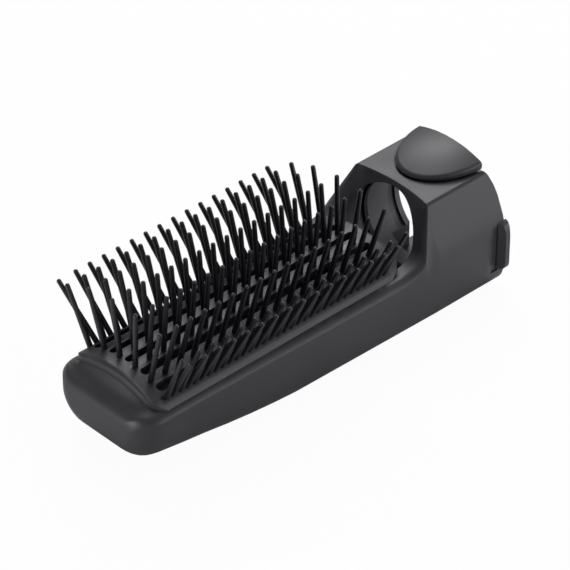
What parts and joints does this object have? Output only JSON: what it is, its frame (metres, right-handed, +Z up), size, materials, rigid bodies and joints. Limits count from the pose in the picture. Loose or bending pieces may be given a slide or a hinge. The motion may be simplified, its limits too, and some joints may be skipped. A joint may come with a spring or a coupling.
{
  "type": "hot air brush head",
  "caption": "Long vented brush head with a crowned, slotted bed of fanned pins and a round socket collar with a domed push button, for a hot air brush.",
  "frame": {"origin": "middle of the part's footprint, on the plane its flat underside rests on", "axes": "+X from the closed tip to the open socket end, +Y across to the side without the ear, +Z up along the pins"},
  "size_m": [0.1748, 0.068, 0.0586],
  "materials": {
    "shell": "satin charcoal",
    "vent_plate": "satin charcoal",
    "pins": "satin near black",
    "lining": "satin grey black",
    "seal": "matt black",
    "spring": "bright"
  },
  "bodies": {
    "head": {"housing": "shell", "bristle_plate": "vent_plate", "pin_strip_1": "pins", "pin_strip_2": "pins", "pin_strip_3": "pins", "pin_strip_4": "pins", "pin_strip_5": "pins", "pin_strip_6": "pins", "seal_ring": "seal", "coupling_sleeve": "lining", "retaining_ring": "lining", "button_spring_near": "spring", "button_spring_far": "spring"},
    "button": {"release_button": "shell"}
  },
  "joints": [
    {"name": "button_press", "type": "slide", "parent": "head", "child": "button", "axis": [0, 0, -1], "range_m": [0, 0.001], "stiffness_N_per_m": 900, "springref_m": -0.001, "deforming": ["button_spring_near", "button_spring_far"]}
  ]
}
